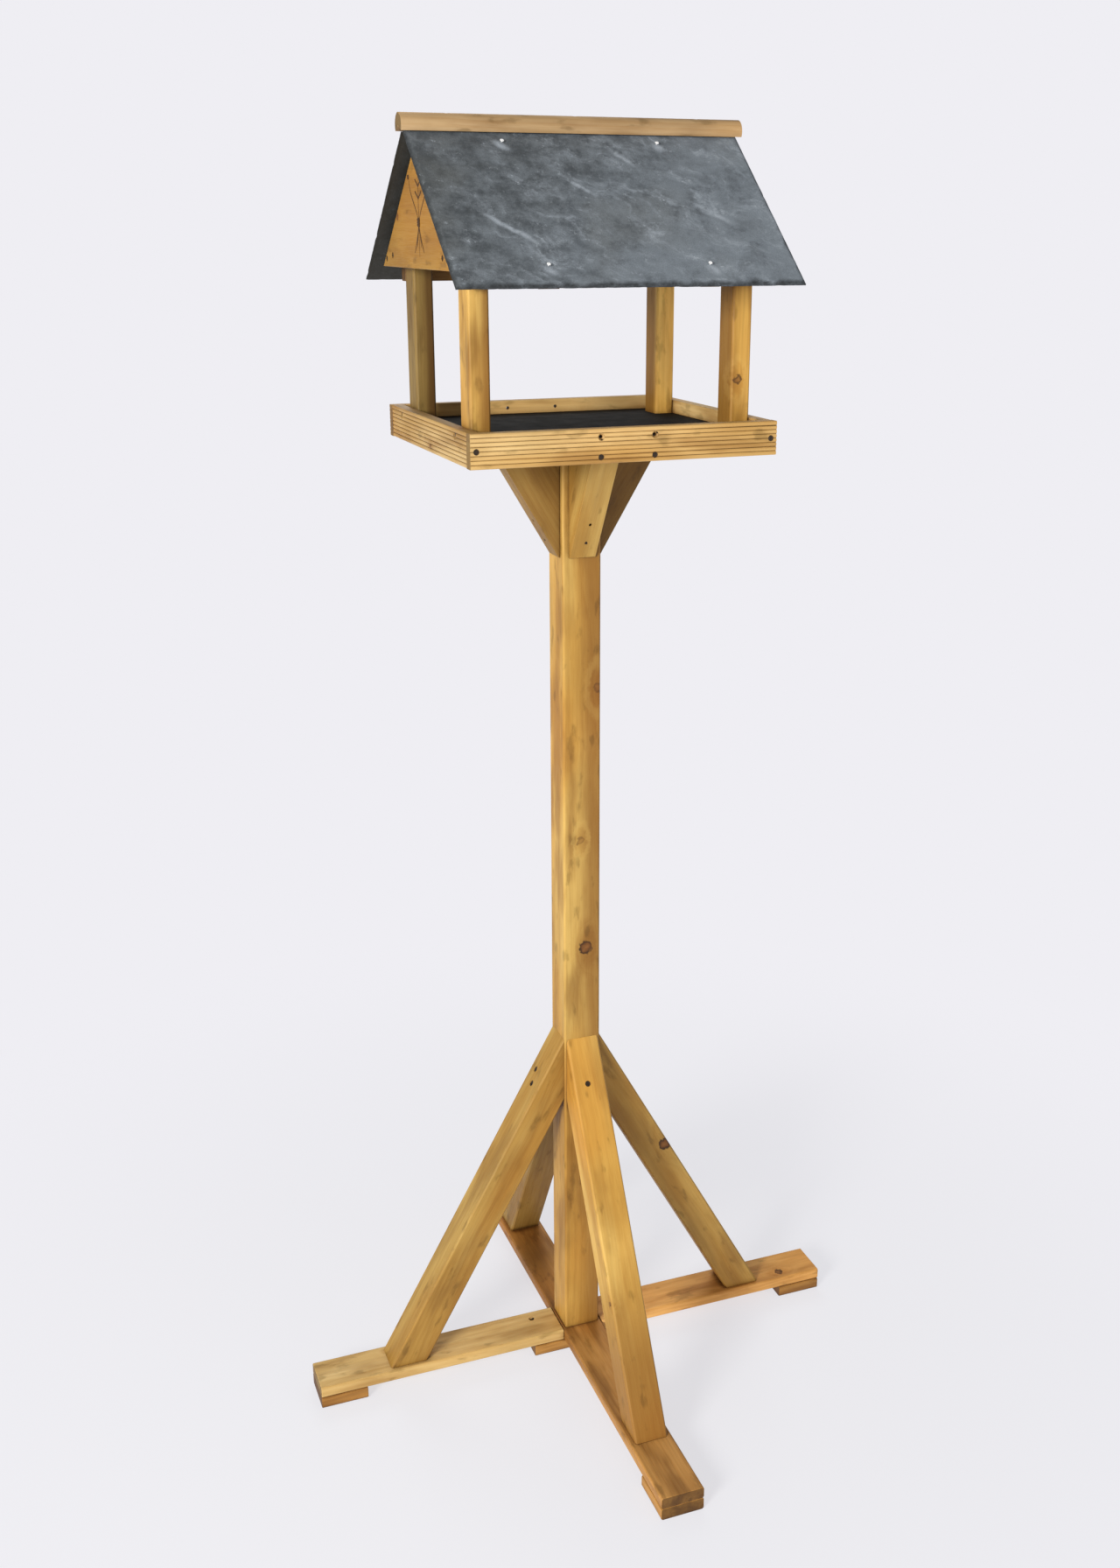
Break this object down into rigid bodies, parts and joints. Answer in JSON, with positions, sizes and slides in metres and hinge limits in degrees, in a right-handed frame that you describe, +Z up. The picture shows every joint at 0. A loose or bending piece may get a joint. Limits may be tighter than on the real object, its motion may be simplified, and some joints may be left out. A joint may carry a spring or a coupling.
{
  "type": "bird feeder on pole",
  "caption": "Free-standing bird table: braced cross base, square timber pole, reeded tray on brackets, corner posts, gabled slate roof with a round ridge roll.",
  "frame": {"origin": "middle of the cross base, on the ground", "axes": "+X along the ridge, -Y towards the front, +Z up"},
  "size_m": [0.755, 0.755, 1.6335],
  "materials": {
    "planed_timber": "planed softwood, clear stained honey",
    "base_timber": "planed softwood, clear stained honey",
    "block_timber": "sawn softwood, stained honey",
    "inner_timber": "sawn softwood, stained honey",
    "reeded_timber": "reeded softwood, clear stained honey",
    "gable_timber": "planed softwood with a burnt line sprig",
    "tray_mat": "matt black",
    "slate": "riven blue-grey slate",
    "wood_screws": "dulled zinc",
    "washer_screws": "galvanised"
  },
  "bodies": {
    "root": {"base_board_long": "base_timber", "base_board_left": "base_timber", "base_board_right": "base_timber", "foot_block_front": "block_timber", "foot_block_back": "block_timber", "foot_block_left": "block_timber", "foot_block_right": "block_timber", "centre_block": "block_timber", "pole": "planed_timber", "strut_front": "planed_timber", "strut_back": "planed_timber", "strut_left": "planed_timber", "strut_right": "planed_timber", "bracket_front": "planed_timber", "bracket_back": "planed_timber", "bracket_left": "planed_timber", "bracket_right": "planed_timber", "tray_board_front": "reeded_timber", "tray_board_back": "reeded_timber", "tray_board_left": "reeded_timber", "tray_board_right": "reeded_timber", "bearer_left": "inner_timber", "bearer_right": "inner_timber", "noggin_left": "inner_timber", "noggin_right": "inner_timber", "tray_floor": "inner_timber", "tray_mat": "tray_mat", "post_front_left": "planed_timber", "post_front_right": "planed_timber", "post_back_left": "planed_timber", "post_back_right": "planed_timber", "roof_rail_front": "inner_timber", "roof_rail_back": "inner_timber", "gable_left": "gable_timber", "gable_right": "gable_timber", "ridge_board": "inner_timber", "batten_front_left": "inner_timber", "batten_front_right": "inner_timber", "batten_back_left": "inner_timber", "batten_back_right": "inner_timber", "slate_front": "slate", "slate_back": "slate", "ridge_roll": "planed_timber", "foot_block_screws": "wood_screws", "crossing_screws": "wood_screws", "pole_base_screws": "wood_screws", "strut_foot_screws": "wood_screws", "strut_head_screws": "wood_screws", "bracket_screws": "wood_screws", "bracket_top_screws": "wood_screws", "bearer_screws": "wood_screws", "tray_frame_screws": "wood_screws", "post_screws": "wood_screws", "rail_screws": "wood_screws", "gable_screws": "wood_screws", "batten_screws": "wood_screws", "slate_screws": "washer_screws", "ridge_roll_screws": "wood_screws"}
  },
  "joints": []
}
